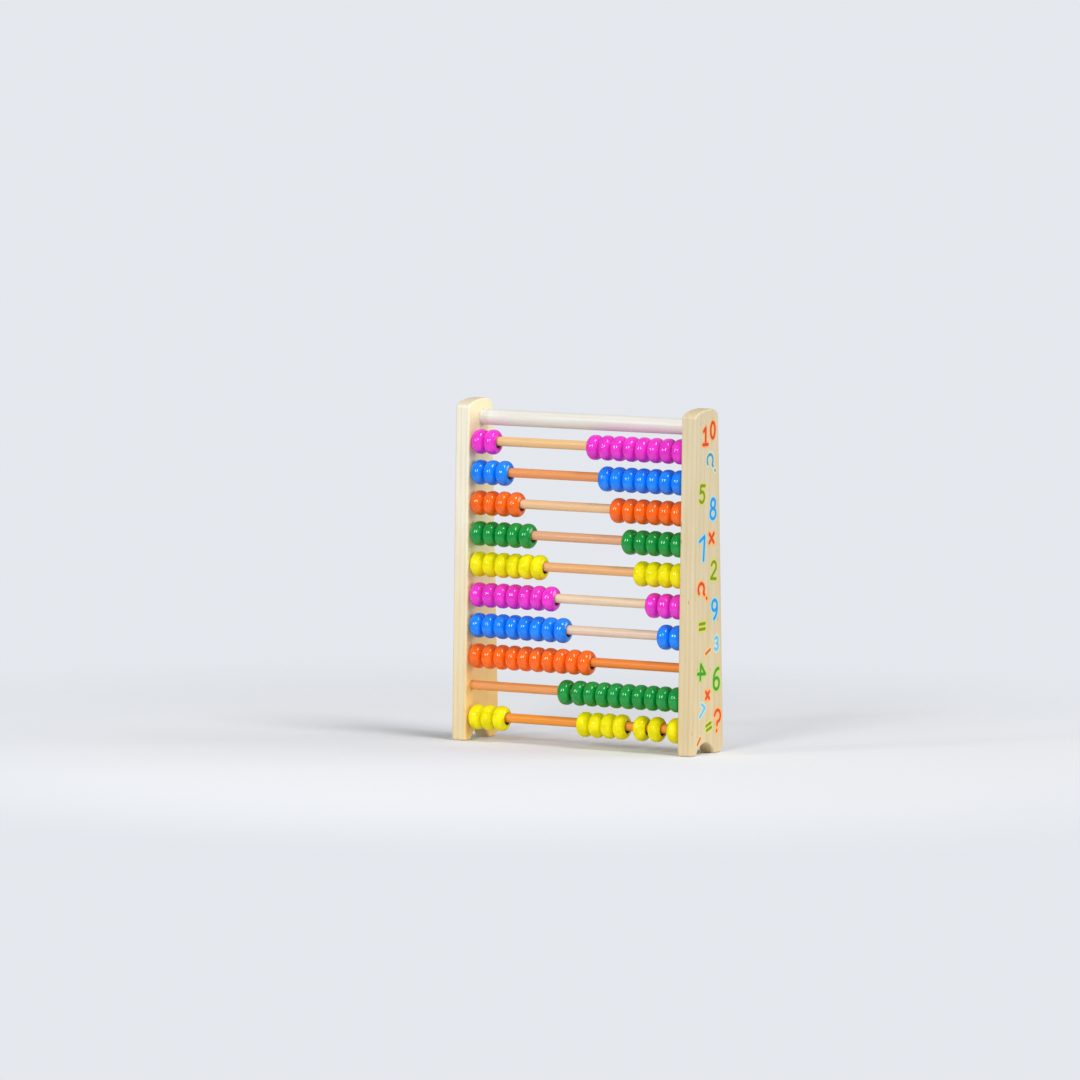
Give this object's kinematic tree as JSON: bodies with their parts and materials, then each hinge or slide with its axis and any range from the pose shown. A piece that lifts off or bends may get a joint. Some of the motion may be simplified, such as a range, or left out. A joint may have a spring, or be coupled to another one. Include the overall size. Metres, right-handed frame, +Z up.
{
  "type": "abacus",
  "caption": "Wooden counting frame: flared side posts with arched feet, a top bar, and rows of glossy coloured beads that slide along thin rods.",
  "frame": {"origin": "on the ground, at the centre of the frame's width and depth", "axes": "+Z up; +X along the rods, to the right as seen from the front; the front, where the beads are pushed, faces -Y"},
  "size_m": [0.192, 0.0466, 0.24],
  "materials": {
    "post_wood": "pale sanded softwood under a thin clear satin varnish, with printed signs on the outer faces",
    "bar_wood": "pale sanded dowel, satin",
    "rod_wood": "warm beech or birch dowel, satin, each of a slightly different tint",
    "bead_pink": "turned wood under thick glossy magenta lacquer",
    "bead_blue": "turned wood under thick glossy blue lacquer",
    "bead_orange": "turned wood under thick glossy orange lacquer",
    "bead_green": "turned wood under thick glossy green lacquer",
    "bead_yellow": "turned wood under satin yellow lacquer"
  },
  "bodies": {
    "root": {"left_post": "post_wood", "right_post": "post_wood", "top_bar": "bar_wood", "rod_01": "rod_wood", "rod_02": "rod_wood", "rod_03": "rod_wood", "rod_04": "rod_wood", "rod_05": "rod_wood", "rod_06": "rod_wood", "rod_07": "rod_wood", "rod_08": "rod_wood", "rod_09": "rod_wood", "rod_10": "rod_wood"},
    "row_01_left": {"row_01_left_bead_a": "bead_pink", "row_01_left_bead_b": "bead_pink"},
    "row_01_right": {"row_01_right_bead_a": "bead_pink", "row_01_right_beads_b": "bead_pink", "row_01_right_beads_c": "bead_pink"},
    "row_02_left": {"row_02_left_beads_a": "bead_blue", "row_02_left_bead_b": "bead_blue"},
    "row_02_right": {"row_02_right_bead_a": "bead_blue", "row_02_right_beads_b": "bead_blue", "row_02_right_beads_c": "bead_blue"},
    "row_03_left": {"row_03_left_beads_a": "bead_orange", "row_03_left_bead_b": "bead_orange"},
    "row_03_right": {"row_03_right_bead_a": "bead_orange", "row_03_right_beads_b": "bead_orange"},
    "row_04_left": {"row_04_left_beads_a": "bead_green", "row_04_left_bead_b": "bead_green"},
    "row_04_right": {"row_04_right_bead_a": "bead_green", "row_04_right_beads_b": "bead_green"},
    "row_05_left": {"row_05_left_beads_a": "bead_yellow", "row_05_left_bead_b": "bead_yellow"},
    "row_05_right": {"row_05_right_bead_a": "bead_yellow", "row_05_right_beads_b": "bead_yellow"},
    "row_06_left": {"row_06_left_beads_a": "bead_pink", "row_06_left_beads_b": "bead_pink", "row_06_left_bead_c": "bead_pink"},
    "row_06_right": {"row_06_right_bead_a": "bead_pink", "row_06_right_beads_b": "bead_pink"},
    "row_07_left": {"row_07_left_beads_a": "bead_blue", "row_07_left_beads_b": "bead_blue", "row_07_left_bead_c": "bead_blue"},
    "row_07_right": {"row_07_right_bead_a": "bead_blue", "row_07_right_bead_b": "bead_blue"},
    "row_08_stack": {"row_08_stack_beads_a": "bead_orange", "row_08_stack_beads_b": "bead_orange"},
    "row_08_end": {"row_08_end_bead_a": "bead_orange"},
    "row_09_lead": {"row_09_lead_bead_a": "bead_green"},
    "row_09_stack": {"row_09_stack_bead_a": "bead_green", "row_09_stack_beads_b": "bead_green", "row_09_stack_beads_c": "bead_green"},
    "row_10_left": {"row_10_left_beads_a": "bead_yellow", "row_10_left_bead_b": "bead_yellow"},
    "row_10_four": {"row_10_four_bead_a": "bead_yellow", "row_10_four_beads_b": "bead_yellow"},
    "row_10_first": {"row_10_first_bead_a": "bead_yellow"},
    "row_10_second": {"row_10_second_bead_a": "bead_yellow"},
    "row_10_third": {"row_10_third_bead_a": "bead_yellow"}
  },
  "joints": [
    {"name": "row_01_left_slide", "type": "slide", "parent": "root", "child": "row_01_left", "axis": [1, 0, 0], "range_m": [0, 0.0727]},
    {"name": "row_01_right_slide", "type": "slide", "parent": "root", "child": "row_01_right", "axis": [1, 0, 0], "range_m": [-0.0727, 0]},
    {"name": "row_02_left_slide", "type": "slide", "parent": "root", "child": "row_02_left", "axis": [1, 0, 0], "range_m": [0, 0.0727]},
    {"name": "row_02_right_slide", "type": "slide", "parent": "root", "child": "row_02_right", "axis": [1, 0, 0], "range_m": [-0.0727, 0]},
    {"name": "row_03_left_slide", "type": "slide", "parent": "root", "child": "row_03_left", "axis": [1, 0, 0], "range_m": [0, 0.0727]},
    {"name": "row_03_right_slide", "type": "slide", "parent": "root", "child": "row_03_right", "axis": [1, 0, 0], "range_m": [-0.0727, 0]},
    {"name": "row_04_left_slide", "type": "slide", "parent": "root", "child": "row_04_left", "axis": [1, 0, 0], "range_m": [0, 0.0727]},
    {"name": "row_04_right_slide", "type": "slide", "parent": "root", "child": "row_04_right", "axis": [1, 0, 0], "range_m": [-0.0727, 0]},
    {"name": "row_05_left_slide", "type": "slide", "parent": "root", "child": "row_05_left", "axis": [1, 0, 0], "range_m": [0, 0.0727]},
    {"name": "row_05_right_slide", "type": "slide", "parent": "root", "child": "row_05_right", "axis": [1, 0, 0], "range_m": [-0.0727, 0]},
    {"name": "row_06_left_slide", "type": "slide", "parent": "root", "child": "row_06_left", "axis": [1, 0, 0], "range_m": [0, 0.0727]},
    {"name": "row_06_right_slide", "type": "slide", "parent": "root", "child": "row_06_right", "axis": [1, 0, 0], "range_m": [-0.0727, 0]},
    {"name": "row_07_left_slide", "type": "slide", "parent": "root", "child": "row_07_left", "axis": [1, 0, 0], "range_m": [0, 0.0727]},
    {"name": "row_07_right_slide", "type": "slide", "parent": "root", "child": "row_07_right", "axis": [1, 0, 0], "range_m": [-0.0727, 0]},
    {"name": "row_08_stack_slide", "type": "slide", "parent": "root", "child": "row_08_stack", "axis": [1, 0, 0], "range_m": [0, 0.0727]},
    {"name": "row_08_end_slide", "type": "slide", "parent": "row_08_stack", "child": "row_08_end", "axis": [-1, 0, 0], "range_m": [-0.0727, 0]},
    {"name": "row_09_stack_slide", "type": "slide", "parent": "root", "child": "row_09_stack", "axis": [1, 0, 0], "range_m": [-0.0716, 0]},
    {"name": "row_10_left_slide", "type": "slide", "parent": "root", "child": "row_10_left", "axis": [1, 0, 0], "range_m": [0, 0.0579]},
    {"name": "row_10_four_slide", "type": "slide", "parent": "root", "child": "row_10_four", "axis": [1, 0, 0], "range_m": [-0.0579, 0.0065]},
    {"name": "row_10_first_slide", "type": "slide", "parent": "root", "child": "row_10_first", "axis": [1, 0, 0], "range_m": [-0.0065, 0.0021]},
    {"name": "row_10_second_slide", "type": "slide", "parent": "root", "child": "row_10_second", "axis": [1, 0, 0], "range_m": [-0.0021, 0.0054]},
    {"name": "row_10_third_slide", "type": "slide", "parent": "root", "child": "row_10_third", "axis": [1, 0, 0], "range_m": [-0.0054, 0.0008]},
    {"name": "row_09_lead_slide", "type": "slide", "parent": "row_09_stack", "child": "row_09_lead", "axis": [-1, 0, 0], "range_m": [-0.0011, 0.0716]}
  ]
}
